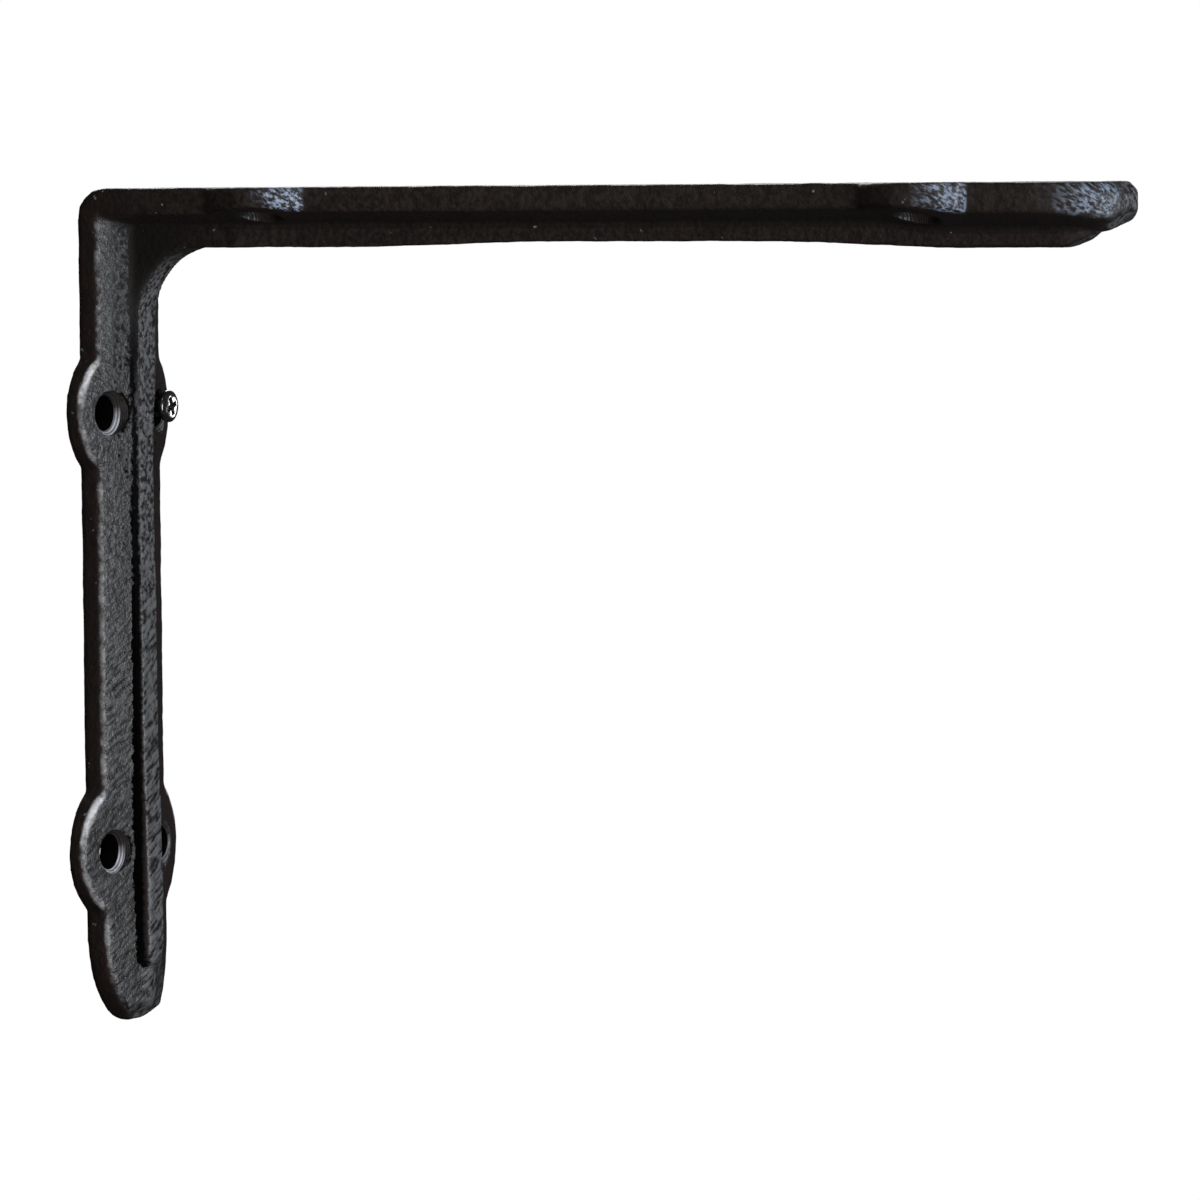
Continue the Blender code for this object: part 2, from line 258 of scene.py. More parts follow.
def mix_colours(tree, share, first, second):
    """The first colour where the share is 0, the second where it is 1."""
    node = tree.nodes.new("ShaderNodeMix")
    node.data_type = "RGBA"
    for socket, value in ((node.inputs[0], share), (node.inputs[6], first), (node.inputs[7], second)):
        feed(tree, value, socket)
    return node.outputs[2]


def mix_values(tree, share, first, second):
    """The first value where the share is 0, the second where it is 1."""
    node = tree.nodes.new("ShaderNodeMix")
    for socket, value in ((node.inputs[0], share), (node.inputs[2], first), (node.inputs[3], second)):
        feed(tree, value, socket)
    return node.outputs[0]


def math_node(tree, operation, first, second=0.0):
    """One step of arithmetic on two values, or on the first alone."""
    node = tree.nodes.new("ShaderNodeMath")
    node.operation = operation
    feed(tree, first, node.inputs[0])
    feed(tree, second, node.inputs[1])
    return node.outputs[0]


def product(tree, first, *others):
    """Several values multiplied, so that an effect shows only where all of them hold."""
    for other in others:
        first = math_node(tree, "MULTIPLY", first, other)
    return first


def without(tree, value):
    """One minus a value."""
    return math_node(tree, "SUBTRACT", 1.0, value)


def around_zero(tree, pattern, size):
    """A noise pattern moved to run about zero, and scaled."""
    return product(tree, math_node(tree, "SUBTRACT", pattern, 0.5), size)


def split(tree, vector):
    """The three parts of a vector, by the names X, Y and Z."""
    node = tree.nodes.new("ShaderNodeSeparateXYZ")
    feed(tree, vector, node.inputs[0])
    return node.outputs


def stretched(tree, place, turn, along, across):
    """A place turned by three angles, then scaled so that a noise on it runs in strokes."""
    node = tree.nodes.new("ShaderNodeMapping")
    node.vector_type = "TEXTURE"
    node.inputs["Rotation"].default_value = turn
    node.inputs["Scale"].default_value = (across, across, along)
    feed(tree, place, node.inputs["Vector"])
    return node.outputs["Vector"]


def painted(tree, name):
    """A value that was stored on the piece's own vertices."""
    node = tree.nodes.new("ShaderNodeAttribute")
    node.attribute_name = name
    return node.outputs["Fac"]


# In the ranges below an effect comes in from the first number to the second; a third and a fourth are its
# strengths there. Ranges that end in X or Z lie along that axis, in metres, and those that end in FACING
# compare a face's direction.
IRON_GREY = (0.092, 0.093, 0.097, 1.0)
IRON_MID = (0.038, 0.0385, 0.040, 1.0)
IRON_BLACK = (0.012, 0.0115, 0.0115, 1.0)
CREST_GREY = (0.150, 0.151, 0.158, 1.0)
SKIN_BROWN = (0.020, 0.0118, 0.0098, 1.0)
SKIN_BLACK = (0.0085, 0.0066, 0.0060, 1.0)
SKIN_GREY = (0.042, 0.036, 0.033, 1.0)
PATCH_SCALE, BLOTCH_SCALE, GRAIN_SCALE, FINE_SCALE = 90, 420, 1050, 2600
STROKE_TURN = (math.radians(-56), 0, 0)
STROKE_LENGTH, STROKE_WIDTH = 0.0030, 0.00075
STROKES_Z = (0.030, -0.010)
GRAIN_IN_STROKES = 0.35
FRONT_CONTRAST = (0.42, 0.60)
CREST_CONTRAST = (0.40, 0.58)
CREST_HALF_WIDTH = (0.0026, 0.0022)
PATCHES = (0.35, 0.65, 0.0, 0.2)
PAINTED_SHADE_UPPER_Z = (0.010, 0.040, 0.0, 0.55)
DARK_LOWER_Z = (-0.015, -0.040, 0.0, 0.18)

place = tree.nodes.new("ShaderNodeTexCoord").outputs["Object"]
patches = noise(tree, place, PATCH_SCALE, 3, 0.6)
grain = noise(tree, place, GRAIN_SCALE, 2)
fine_grain = noise(tree, place, FINE_SCALE, 2)
blotches = noise(tree, place, BLOTCH_SCALE, 4, 0.65)
strokes = noise(tree, stretched(tree, place, STROKE_TURN, STROKE_LENGTH, STROKE_WIDTH), 1.0, 1)

facing = split(tree, tree.nodes.new("ShaderNodeNewGeometry").outputs["Normal"])
position = split(tree, place)
sideways = math_node(tree, "ABSOLUTE", facing["Y"])
off_centre = math_node(tree, "ABSOLUTE", position["Y"])
hollowness = painted(tree, "hollow")
from_shelf = math_node(tree, "SUBTRACT", cad_box[1][2], position["Z"])
off_back = math_node(tree, "MINIMUM", position["X"], from_shelf)

# the faces that look out from the wall are rubbed down to grey, in strokes on the lower leg
mottle = mix_values(tree, spread(tree, position["Z"], *STROKES_Z), grain, strokes)
mottle = mix_values(tree, GRAIN_IN_STROKES, mottle, grain)
front_colour = mix_colours(tree, spread(tree, mottle, *FRONT_CONTRAST), IRON_BLACK, IRON_GREY)
front_colour = mix_colours(tree, spread(tree, patches, *PATCHES), front_colour, IRON_GREY)
# painted shade: towards the top of the leg, under the arm, the front turns a darker mid grey; towards its
# foot it darkens to the skin's black
front_colour = mix_colours(tree, spread(tree, position["Z"], *PAINTED_SHADE_UPPER_Z), front_colour, IRON_MID)
front_colour = mix_colours(tree, spread(tree, position["Z"], *DARK_LOWER_Z), front_colour, SKIN_BLACK)
crest_colour = mix_colours(tree, spread(tree, mottle, *CREST_CONTRAST), IRON_BLACK, CREST_GREY)
on_crest = spread(tree, off_centre, *CREST_HALF_WIDTH)
front_colour = mix_colours(tree, on_crest, front_colour, crest_colour)

# the sides and the back keep their dark brown skin, greyer on the arm; the far slopes take it too as painted
# shade, and at the arm's end its downward faces are darkened as painted shade
BROWN_BLOTCHES = (0.40, 0.62)
ARM_X = (0.006, 0.022)
SIDE_FACING = (0.6, 0.8)
GREYED_GRAIN = (0.40, 0.62, 0.15, 0.9)
ARM_END_X = (0.09, 0.17)
UNDERSIDE_FACING = (-0.2, -0.5, 0.3, 0.8)
along_arm = spread(tree, position["X"], *ARM_X)
skin_colour = mix_colours(tree, spread(tree, blotches, *BROWN_BLOTCHES), SKIN_BLACK, SKIN_BROWN)
greyed = product(
    tree, along_arm, spread(tree, sideways, *SIDE_FACING), spread(tree, grain, *GREYED_GRAIN)
)
skin_colour = mix_colours(tree, greyed, skin_colour, SKIN_GREY)
# painted shade: faces that look down are darkened towards the arm's end
painted_shade_at_end = product(
    tree, spread(tree, position["X"], *ARM_END_X), spread(tree, facing["Z"], *UNDERSIDE_FACING)
)
skin_colour = mix_colours(tree, painted_shade_at_end, skin_colour, SKIN_BLACK)

# which faces are rubbed: beyond the crest the far slope is kept dark as painted shade, and the arm's flanks
# drop out too
FAR_FACING = (0.08, 0.20)
FAR_START_Z = (-0.054, -0.061, 0.0030, 0.0062)
FAR_EDGE = (0.0, 0.0012)
OUT_FACING = (0.40, 0.65)
CREST_OUT_FACING = (0.05, 0.85)
FLANK_FACING = (0.25, 0.45)
FLANKS_X = (0.030, 0.038)
# painted shade: the slope beyond the crest, facing away, keeps the dark skin
beyond = math_node(tree, "SUBTRACT", position["Y"], spread(tree, position["Z"], *FAR_START_Z))
painted_shade_far_slope = product(tree, spread(tree, facing["Y"], *FAR_FACING), spread(tree, beyond, *FAR_EDGE))
faces_out = mix_values(
    tree, on_crest, spread(tree, facing["X"], *OUT_FACING), spread(tree, facing["X"], *CREST_OUT_FACING)
)
arm_flank = product(
    tree, spread(tree, sideways, *FLANK_FACING), spread(tree, position["X"], *FLANKS_X)
)
rubbed_face_out_of_shade = product(tree, faces_out, without(tree, painted_shade_far_slope), without(tree, arm_flank))
colour = mix_colours(tree, rubbed_face_out_of_shade, skin_colour, front_colour)

# black covers the rib's flanks on the leg, fills its foot and the hollows, with a ragged edge: partly grit,
# partly painted shade; it is browner up in the corner and on the arm
GRIT_AND_SHADE_BLACK = (0.0010, 0.0010, 0.0012, 1.0)
CORNER_GRIT_AND_SHADE = (0.0048, 0.0042, 0.0035, 1.0)
STEEP_FACING = (0.34, 0.52)
RAGGEDNESS = 0.9
RAGGED_RISE = 0.0012
RAGGED_HOLLOWS = 0.28
RIB_FOOT = (0.0052, 0.0058)
BELOW_CREST = (0.0079, 0.0073)
CORNER_Z = (0.036, 0.050)
LEG_GRIT_AND_SHADE_X = (0.032, 0.012, 0.0, 0.92)
HOLLOWS = (0.070, 0.105)
ARM_HOLLOWS = 0.6
GRIT_AND_SHADE_HALF_WIDTH = (0.0048, 0.0038)
BROWNER_Z = (0.047, 0.057)
ragged = around_zero(tree, grain, RAGGEDNESS)
ragged_height = math_node(tree, "ADD", off_back, product(tree, ragged, RAGGED_RISE))
steep = product(
    tree,
    spread(tree, math_node(tree, "ADD", sideways, ragged), *STEEP_FACING),
    spread(tree, off_back, *RIB_FOOT),
    math_node(
        tree, "MAXIMUM", spread(tree, ragged_height, *BELOW_CREST), spread(tree, position["Z"], *CORNER_Z)
    ),
    spread(tree, position["X"], *LEG_GRIT_AND_SHADE_X),
)
uneven_hollow = mix_values(tree, along_arm, product(tree, ragged, RAGGED_HOLLOWS), 0.0)
# painted shade in the hollows, black as grit
hollow_grit_and_shade = product(
    tree,
    spread(tree, math_node(tree, "ADD", hollowness, uneven_hollow), *HOLLOWS),
    mix_values(tree, along_arm, 1.0, ARM_HOLLOWS),
    spread(tree, off_centre, *GRIT_AND_SHADE_HALF_WIDTH),
)
grit_and_shade = math_node(tree, "MAXIMUM", steep, hollow_grit_and_shade)
up_high = math_node(tree, "MAXIMUM", spread(tree, position["Z"], *BROWNER_Z), along_arm)
colour = mix_colours(tree, grit_and_shade, colour, mix_colours(tree, up_high, GRIT_AND_SHADE_BLACK, CORNER_GRIT_AND_SHADE))

# rims carry a painted highlight: broadly where they look up, in a thin broken line down the leg
WORN_AND_HIGHLIGHT_BRIGHT = (0.80, 0.82, 0.86, 1.0)
RIM_UNEVENNESS = 0.25
THIN_RIM = (-0.16, -0.25, 0.0, 0.42)
BROAD_RIM = (-0.09, -0.19)
RIM_UP_FACING = (0.03, 0.28)
RIM_OUT_FACING = (0.08, 0.30)
RIM_OFF_BACK = (0.0009, 0.0014)
RIM_BELOW_RIB = (0.0066, 0.0056, 0.15, 1.0)
RIM_OFF_CENTRE = (0.0086, 0.0096)
RIM_GRAIN = (0.36, 0.54, 0.6, 1.0)
RIM_X = (0.012, 0.009)
uneven_rim = math_node(tree, "ADD", hollowness, around_zero(tree, blotches, RIM_UNEVENNESS))
broad_rim = product(tree, spread(tree, uneven_rim, *BROAD_RIM), spread(tree, facing["Z"], *RIM_UP_FACING))
rim_highlight = product(
    tree,
    math_node(tree, "MAXIMUM", spread(tree, uneven_rim, *THIN_RIM), broad_rim),
    spread(tree, off_back, *RIM_OFF_BACK),
    spread(tree, off_back, *RIM_BELOW_RIB),
    spread(tree, facing["X"], *RIM_OUT_FACING),
    spread(tree, position["X"], *RIM_X),
    spread(tree, off_centre, *RIM_OFF_CENTRE),
    spread(tree, grain, *RIM_GRAIN),
)
colour = mix_colours(tree, rim_highlight, colour, WORN_AND_HIGHLIGHT_BRIGHT)

# where the arm's flanks turn towards its end a painted highlight lies on them in bluish streaks
HIGHLIGHT_STREAK_BLUE = (0.43, 0.54, 0.74, 1.0)
STREAK_TURN = (0, math.radians(-63), 0)
STREAK_LENGTH, STREAK_WIDTH = 0.0024, 0.00050
STREAK_FACING = (0.16, 0.40)
STREAK_END_FACING = (0.70, 0.90, 1.0, 0.25)
STREAK_OFF_BACK = (0.0060, 0.0050)
STREAKS_X = (0.08, 0.15, 1.0, 0.62)
STREAK_CONTRAST = (0.46, 0.62)
streaks = noise(tree, stretched(tree, place, STREAK_TURN, STREAK_LENGTH, STREAK_WIDTH), 1.0, 3, 0.6)
flank_highlight = product(
    tree,
    arm_flank,
    spread(tree, facing["X"], *STREAK_FACING),
    spread(tree, facing["X"], *STREAK_END_FACING),
    spread(tree, off_back, *STREAK_OFF_BACK),
    spread(tree, position["X"], *STREAKS_X),
    spread(tree, streaks, *STREAK_CONTRAST),
)
colour = mix_colours(tree, flank_highlight, colour, HIGHLIGHT_STREAK_BLUE)

# and a few bright nicks stand on the sides
NICK_SCALE = 620
NICKS = (0.72, 0.78)
NICK_FACING = (0.5, 0.8, 0.0, 0.5)
nicks = noise(tree, place, NICK_SCALE, 2)
nicked = product(tree, spread(tree, nicks, *NICKS), spread(tree, sideways, *NICK_FACING))
colour = mix_colours(tree, nicked, colour, WORN_AND_HIGHLIGHT_BRIGHT)
feed(tree, colour, shader.inputs["Base Color"])

# the grit and painted shade on the leg have no sheen of their own, so they take the metal's black reflection
POLISH = (0.3, 0.7, 0.48, 0.32)
DULLNESS = (0.3, 0.7, 0.62, 0.5)
GRIT_AND_SHADE_ROUGHNESS = 0.9
BUMP_HEIGHT = 0.00045
FINE_BUMP = 0.3
SKIN_BUMP = 0.35
feed(tree, product(tree, grit_and_shade, without(tree, up_high)), shader.inputs["Metallic"])
roughness = mix_values(tree, rubbed_face_out_of_shade, spread(tree, blotches, *DULLNESS), spread(tree, grain, *POLISH))
feed(tree, mix_values(tree, grit_and_shade, roughness, GRIT_AND_SHADE_ROUGHNESS), shader.inputs["Roughness"])
heights = math_node(tree, "ADD", mottle, product(tree, fine_grain, FINE_BUMP))
heights = product(tree, heights, mix_values(tree, rubbed_face_out_of_shade, SKIN_BUMP, 1.0))
bump = tree.nodes.new("ShaderNodeBump")
bump.inputs["Distance"].default_value = BUMP_HEIGHT
feed(tree, heights, bump.inputs["Height"])
feed(tree, bump.outputs["Normal"], shader.inputs["Normal"])

# the countersinks are cut metal with faint turning rings; a painted highlight makes them bright where they
# look up on the leg's near side, and painted shade darkens their walls that look up and all of the arm's
# holes
CUT_HIGHLIGHT = (0.76, 0.77, 0.86, 1.0)
CUT_GREY = (0.036, 0.034, 0.032, 1.0)
CUT_SHADE_DARK = (0.010, 0.0095, 0.010, 1.0)
CUT_RINGS = 2 * math.pi / 0.00042
RING_HEIGHT = 0.00002
RING_LIGHT = (-0.7, 0.3, 0.3, 1.0)
STAIN_SCALE = 900
STAINS = (0.3, 0.6, 0.7, 1.0)
SEAT_FACING = (0.45, 0.60)
SEAT_UP_FACING = (-0.28, 0.36)
WALL_UP_FACING = (-0.30, 0.10)
NEAR_SIDE_Y = (0.002, 0.004, 1.0, 0.25)
LEG_HOLES_X = (0.0130, 0.0120)
CUT_ROUGHNESS = (0.3, 0.7, 0.5, 0.36)
drilled.use_nodes = True
tree = drilled.node_tree
shader = tree.nodes["Principled BSDF"]
place = tree.nodes.new("ShaderNodeTexCoord").outputs["Object"]
position = split(tree, place)
geometry = tree.nodes.new("ShaderNodeNewGeometry")
facing = split(tree, geometry.outputs["Normal"])
flat_facing = split(tree, geometry.outputs["True Normal"])
rings = math_node(tree, "SINE", product(tree, position["X"], CUT_RINGS))
stains = noise(tree, place, STAIN_SCALE, 2)
seat_highlight = product(
    tree,
    spread(tree, facing["Z"], *SEAT_UP_FACING),
    spread(tree, rings, *RING_LIGHT),
    spread(tree, stains, *STAINS),
    spread(tree, position["Y"], *NEAR_SIDE_Y),
)
seat_colour = mix_colours(tree, seat_highlight, CUT_GREY, CUT_HIGHLIGHT)
# painted shade: countersink walls that look up are darkened
wall_colour = mix_colours(tree, spread(tree, facing["Z"], *WALL_UP_FACING), CUT_GREY, CUT_SHADE_DARK)
cut_colour = mix_colours(tree, spread(tree, flat_facing["X"], *SEAT_FACING), wall_colour, seat_colour)
# painted shade: the arm's holes are dark all over
cut_colour = mix_colours(tree, spread(tree, position["X"], *LEG_HOLES_X), CUT_SHADE_DARK, cut_colour)
feed(tree, cut_colour, shader.inputs["Base Color"])
feed(tree, spread(tree, stains, *CUT_ROUGHNESS), shader.inputs["Roughness"])
bump = tree.nodes.new("ShaderNodeBump")
bump.inputs["Distance"].default_value = RING_HEIGHT
feed(tree, rings, bump.inputs["Height"])
feed(tree, bump.outputs["Normal"], shader.inputs["Normal"])

# the bores behind them are painted black as shade, with crusted dirt
BORE_SHADE_BLACK = (0.0008, 0.0008, 0.0008, 1.0)
BORE_BROWN = (0.0030, 0.0022, 0.0018, 1.0)
CRUST_SCALE = 1400
CRUST = (0.45, 0.7)
BORE_ROUGHNESS = 0.8
BORE_SHEEN = 0.04
bore_dark.use_nodes = True
tree = bore_dark.node_tree
shader = tree.nodes["Principled BSDF"]
crust = noise(tree, tree.nodes.new("ShaderNodeTexCoord").outputs["Object"], CRUST_SCALE, 3)
bore_colour = mix_colours(tree, spread(tree, crust, *CRUST), BORE_SHADE_BLACK, BORE_BROWN)
feed(tree, bore_colour, shader.inputs["Base Color"])
shader.inputs["Roughness"].default_value = BORE_ROUGHNESS
shader.inputs["Specular IOR Level"].default_value = BORE_SHEEN

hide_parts("bracket")
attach(casting, "root")


# One countersunk wood screw stands proud in the far upper hole of the leg. It is steel with a glossy black
# finish, a low round top, a crossed recess and a turned thread.
screw_low, screw_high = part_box("screw")
SCREW_CENTRE_Y = (screw_low.y + screw_high.y) / 2
SCREW_CENTRE_Z = (screw_low.z + screw_high.z) / 2
HEAD_RADIUS = (screw_high.y - screw_low.y) / 2
HEAD_HEIGHT = 0.0010
HEAD_CONE = 0.0017
HEAD_RIM = 0.0004
CORE_RADIUS = 0.00145
THREAD_RADIUS = 0.0019
THREAD_PITCH = 0.0013
RECESS_LENGTH = 0.0041
RECESS_WIDTH = 0.0011
RECESS_DEPTH = 0.0012
RECESS_TURN = math.radians(20)
RECESS_OVERCUT = 0.0002
RECESS_TAPER = (0.45, 0.7)
DOME_STEPS = 7
DOME_ROUNDNESS = 0.8
DOME_FLAT = 0.6
TIP_LENGTH = CORE_RADIUS * 0.4
TIP_SHARE = 0.6
WORN_EDGE = 0.00009
WORN_ANGLE = math.radians(35)
SCREW_SIDES = 64
THREAD_SIDES = 28
THREAD_SHARE = 0.9
THREAD_FROM_TIP = 0.0004
THREAD_FROM_HEAD = 0.0006
SCREW_SHARP_ANGLE = math.radians(32)
SCREW_BLACK = (0.010, 0.010, 0.011, 1.0)
SCREW_SCUFF = (0.030, 0.030, 0.031, 1.0)
SCUFF_SCALE = 1400
SCUFFS = (0.55, 0.75)
SCREW_GLOSS = (0.35, 0.7, 0.12, 0.22)
COAT_WEIGHT = 0.6
COAT_ROUGHNESS = 0.08
under_head = screw_high.x - HEAD_HEIGHT

bpy.ops.object.select_all(action="DESELECT")
bpy.ops.mesh.primitive_cylinder_add(
    vertices=SCREW_SIDES,
    radius=HEAD_RADIUS,
    depth=HEAD_RIM,
    location=(under_head + HEAD_RIM / 2, SCREW_CENTRE_Y, SCREW_CENTRE_Z),
    rotation=(0, math.pi / 2, 0),
)
screw = bpy.context.object
screw.name = "wood_screw"
bpy.ops.object.transform_apply(location=True, rotation=True, scale=True)


def extrude_cap(distance, width_share, centre):
    """Moves the selected end out by a distance along X, scaled about the screw's axis."""
    bpy.ops.mesh.extrude_region_move(TRANSFORM_OT_translate={"value": (distance, 0, 0)})
    bpy.ops.transform.resize(value=(1, width_share, width_share), center_override=centre)


screw_axis = (0.0, SCREW_CENTRE_Y, SCREW_CENTRE_Z)
select_cap(screw, Vector((1, 0, 0)))
dome_height = HEAD_HEIGHT - HEAD_RIM
before_width, before_rise = 1.0, 0.0
for step in range(1, DOME_STEPS + 1):
    turn = math.pi / 2 * step / (DOME_STEPS + DOME_FLAT)
    width, rise = math.cos(turn) ** DOME_ROUNDNESS, dome_height * math.sin(turn)
    extrude_cap(rise - before_rise, width / before_width, screw_axis)
    before_width, before_rise = width, rise
bpy.ops.object.mode_set(mode="OBJECT")

select_cap(screw, Vector((-1, 0, 0)))
extrude_cap(-HEAD_CONE, CORE_RADIUS / HEAD_RADIUS, screw_axis)
extrude_cap(screw_low.x - under_head + HEAD_CONE + TIP_LENGTH, 1.0, screw_axis)
extrude_cap(-TIP_LENGTH, TIP_SHARE, screw_axis)
bpy.ops.object.mode_set(mode="OBJECT")

for blade in range(2):
    bpy.ops.object.select_all(action="DESELECT")
    bpy.ops.mesh.primitive_cube_add(
        size=1,
        location=(screw_high.x - RECESS_DEPTH / 2 + RECESS_OVERCUT, SCREW_CENTRE_Y, SCREW_CENTRE_Z),
        rotation=(RECESS_TURN + blade * math.pi / 2, 0, 0),
        scale=(RECESS_DEPTH + 2 * RECESS_OVERCUT, RECESS_LENGTH, RECESS_WIDTH),
    )
    cutter = bpy.context.object
    for corner in cutter.data.vertices:
        if corner.co.x < 0:
            corner.co.y *= RECESS_TAPER[0]
            corner.co.z *= RECESS_TAPER[1]
    cut = screw.modifiers.new("recess", "BOOLEAN")
    cut.object = cutter
    cut.operation = "DIFFERENCE"
    cut.solver = "EXACT"
    bpy.context.view_layer.objects.active = screw
    bpy.ops.object.modifier_apply(modifier=cut.name)
    bpy.data.objects.remove(cutter, do_unlink=True)

soft = screw.modifiers.new("worn edges", "BEVEL")
soft.width = WORN_EDGE
soft.segments = 2
soft.limit_method = "ANGLE"
soft.angle_limit = WORN_ANGLE
bpy.ops.object.modifier_apply(modifier=soft.name)
bpy.ops.object.mode_set(mode="EDIT")
bpy.ops.mesh.select_all(action="SELECT")
bpy.ops.mesh.remove_doubles(threshold=MERGE_REACH)
bpy.ops.object.mode_set(mode="OBJECT")

# the thread, a ridge wound round the core
thread_start = screw_low.x + THREAD_FROM_TIP
thread_turns = (under_head - HEAD_CONE - THREAD_FROM_HEAD - thread_start) / THREAD_PITCH
ridge_width = THREAD_PITCH * THREAD_SHARE
ridge_root = CORE_RADIUS * THREAD_SHARE
ridge = bpy.data.meshes.new("thread")
ridge.from_pydata(
    [
        (thread_start, ridge_root, 0),
        (thread_start + ridge_width / 2, THREAD_RADIUS, 0),
        (thread_start + ridge_width, ridge_root, 0),
    ],
    [(0, 1), (1, 2), (2, 0)],
    [],
)
thread = bpy.data.objects.new("thread", ridge)
bpy.context.scene.collection.objects.link(thread)
bpy.ops.object.select_all(action="DESELECT")
thread.select_set(True)
bpy.context.view_layer.objects.active = thread
winding = thread.modifiers.new("winding", "SCREW")
winding.axis = "X"
winding.angle = 2 * math.pi * thread_turns
winding.screw_offset = THREAD_PITCH * thread_turns
winding.steps = int(THREAD_SIDES * thread_turns)
winding.render_steps = winding.steps
winding.use_merge_vertices = True
winding.merge_threshold = MERGE_REACH
bpy.ops.object.modifier_apply(modifier=winding.name)
thread.data.transform(Matrix.Translation(screw_axis))
bpy.ops.object.mode_set(mode="EDIT")
bpy.ops.mesh.select_all(action="SELECT")
bpy.ops.mesh.edge_face_add()
bpy.ops.mesh.normals_make_consistent(inside=False)
bpy.ops.object.mode_set(mode="OBJECT")
bpy.ops.object.select_all(action="DESELECT")
thread.select_set(True)
screw.select_set(True)
bpy.context.view_layer.objects.active = screw
bpy.ops.object.join()
bpy.ops.object.shade_smooth_by_angle(angle=SCREW_SHARP_ANGLE)

black_steel = bpy.data.materials.new("glossy black steel")
black_steel.use_nodes = True
tree = black_steel.node_tree
shader = tree.nodes["Principled BSDF"]
place = tree.nodes.new("ShaderNodeTexCoord").outputs["Object"]
scuffs = noise(tree, place, SCUFF_SCALE, 3, 0.6)
screw_colour = mix_colours(tree, spread(tree, scuffs, *SCUFFS), SCREW_BLACK, SCREW_SCUFF)
feed(tree, screw_colour, shader.inputs["Base Color"])
feed(tree, spread(tree, scuffs, *SCREW_GLOSS), shader.inputs["Roughness"])
shader.inputs["Coat Weight"].default_value = COAT_WEIGHT
shader.inputs["Coat Roughness"].default_value = COAT_ROUGHNESS
screw.data.materials.clear()
screw.data.materials.append(black_steel)
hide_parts("screw")
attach(screw, "root")


# The studio: a pale floor far below, a white room, a soft box before the leg and one above it that give the
# front its sheen, two faint warm fills from the camera's side, one lamp behind for the shelf face and the
# back, and a small one that lights the glossy screw alone.
FLOOR_DROP = -1.2
FLOOR_SIDE = 30
FLOOR_GREY = (0.10, 0.10, 0.10, 1.0)
FLOOR_ROUGHNESS = 0.9
WHITE = (1.0, 1.0, 1.0, 1.0)
ROOM_WARM = (1.0, 0.97, 0.94, 1.0)
ROOM_DIM = 0.05
MIDDLE = (0.06, 0.0, 0.02)

bpy.ops.object.select_all(action="DESELECT")
bpy.ops.mesh.primitive_plane_add(size=FLOOR_SIDE, location=(0, 0, FLOOR_DROP))
floor = bpy.context.object
floor.name = "studio_floor"
pale = bpy.data.materials.new("pale floor")
pale.use_nodes = True
tree = pale.node_tree
cover = tree.nodes["Principled BSDF"]
cover.inputs["Base Color"].default_value = FLOOR_GREY
cover.inputs["Roughness"].default_value = FLOOR_ROUGHNESS
cover.inputs["Emission Color"].default_value = WHITE
feed(tree, tree.nodes.new("ShaderNodeLightPath").outputs["Is Camera Ray"], cover.inputs["Emission Strength"])
floor.data.materials.append(pale)
bpy.context.scene.view_settings.view_transform = "Standard"

room = bpy.data.worlds.new("white room")
bpy.context.scene.world = room
room.use_nodes = True
tree = room.node_tree
seen = tree.nodes["Background"]
seen.inputs["Color"].default_value = WHITE
seen.inputs["Strength"].default_value = 1.0
felt = tree.nodes.new("ShaderNodeBackground")
felt.inputs["Color"].default_value = ROOM_WARM
felt.inputs["Strength"].default_value = ROOM_DIM
chooser = tree.nodes.new("ShaderNodeMixShader")
feed(tree, tree.nodes.new("ShaderNodeLightPath").outputs["Is Camera Ray"], chooser.inputs[0])
feed(tree, felt.outputs[0], chooser.inputs[1])
feed(tree, seen.outputs[0], chooser.inputs[2])
feed(tree, chooser.outputs[0], tree.nodes["World Output"].inputs["Surface"])


def soft_box(name, place, target, width, height, watts, colour):
    """A lamp with a flat face of the given size, aimed at a target."""
    light = bpy.data.lights.new(name, "AREA")
    light.shape = "RECTANGLE"
    light.size = width
    light.size_y = height
    light.energy = watts
    light.color = colour
    lamp = bpy.data.objects.new(name, light)
    bpy.context.scene.collection.objects.link(lamp)
    lamp.location = place
    lamp.rotation_euler = (Vector(target) - Vector(place)).to_track_quat("-Z", "Y").to_euler()
    return lamp


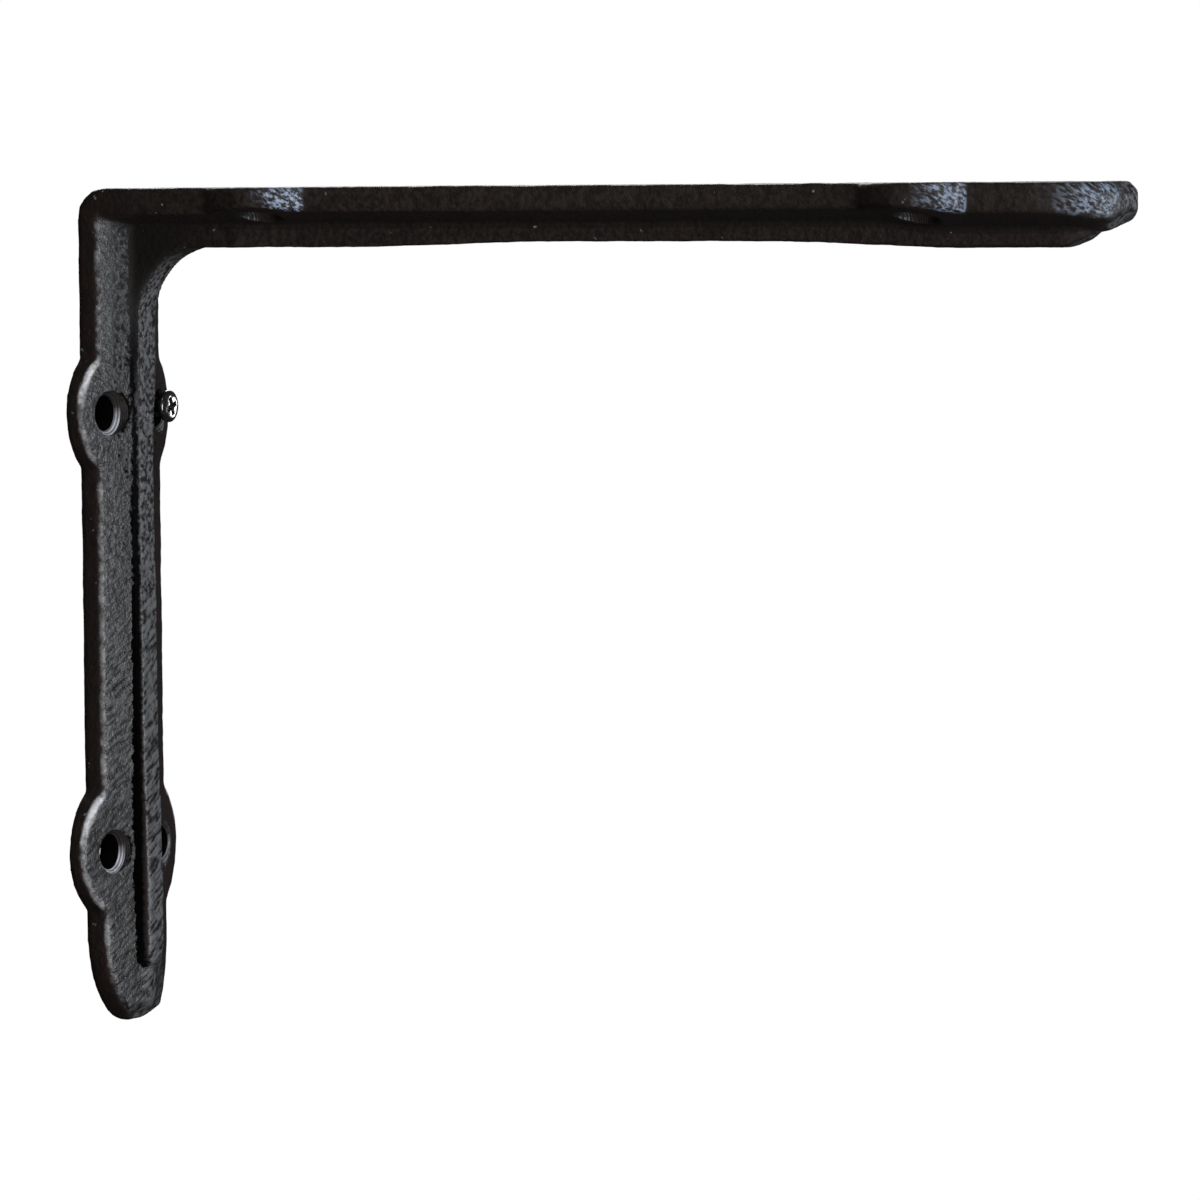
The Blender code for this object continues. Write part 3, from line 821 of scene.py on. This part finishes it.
soft_box("key", (1.14, -0.17, -0.03), MIDDLE, 0.36, 0.40, 8.6, (0.93, 0.965, 1.0))
soft_box("high", (0.62, -0.40, 0.80), MIDDLE, 0.3, 0.3, 2.0, (0.95, 0.98, 1.0))
soft_box("fill", (0.30, -0.70, 0.22), (0.12, 0.0, 0.07), 0.4, 0.3, 0.55, (1.0, 0.90, 0.84))
soft_box("warm_low", (0.12, -0.60, -0.36), (0.06, 0.0, 0.06), 0.5, 0.3, 0.45, (1.0, 0.74, 0.66))
soft_box("back_fill", (-0.60, 0.95, 0.65), MIDDLE, 0.7, 0.7, 9.0, (1.0, 0.97, 0.94))
glint = soft_box("glint", (0.46, 0.90, -0.02), (0.0, 0.0, 0.04), 0.30, 0.30, 4.0, (1.0, 1.0, 1.0))
glossy_pieces = bpy.data.collections.new("glossy pieces")
glossy_pieces.objects.link(screw)
glint.light_linking.receiver_collection = glossy_pieces

# The camera stands where the photograph was taken from: level with the arm and turned and tipped a little.
PHOTO_SIDE = 1200
CAMERA_PLACE = Vector((0.5970, -0.9211, 0.0802))
CAMERA_YAW = math.radians(28.347)
CAMERA_TIP = math.radians(3.952)
CAMERA_ROLL = math.radians(-0.438)
FOCAL_PIXELS = 6068.9
SENSOR_WIDTH = 36

camera_data = bpy.data.cameras.new("camera")
camera_data.sensor_width = SENSOR_WIDTH
camera_data.lens = SENSOR_WIDTH * FOCAL_PIXELS / PHOTO_SIDE
camera_data.clip_start = 0.01
camera_data.clip_end = 100
camera = bpy.data.objects.new("camera", camera_data)
bpy.context.scene.collection.objects.link(camera)
ahead = Vector((
    -math.sin(CAMERA_YAW) * math.cos(CAMERA_TIP),
    math.cos(CAMERA_YAW) * math.cos(CAMERA_TIP),
    -math.sin(CAMERA_TIP),
))
level = Vector((math.cos(CAMERA_YAW), math.sin(CAMERA_YAW), 0.0))
above = level.cross(ahead)
right = level * math.cos(CAMERA_ROLL) + above * math.sin(CAMERA_ROLL)
up = above * math.cos(CAMERA_ROLL) - level * math.sin(CAMERA_ROLL)
turned = Matrix((right, up, -ahead)).transposed().to_4x4()
camera.matrix_world = Matrix.Translation(CAMERA_PLACE) @ turned
bpy.context.scene.camera = camera
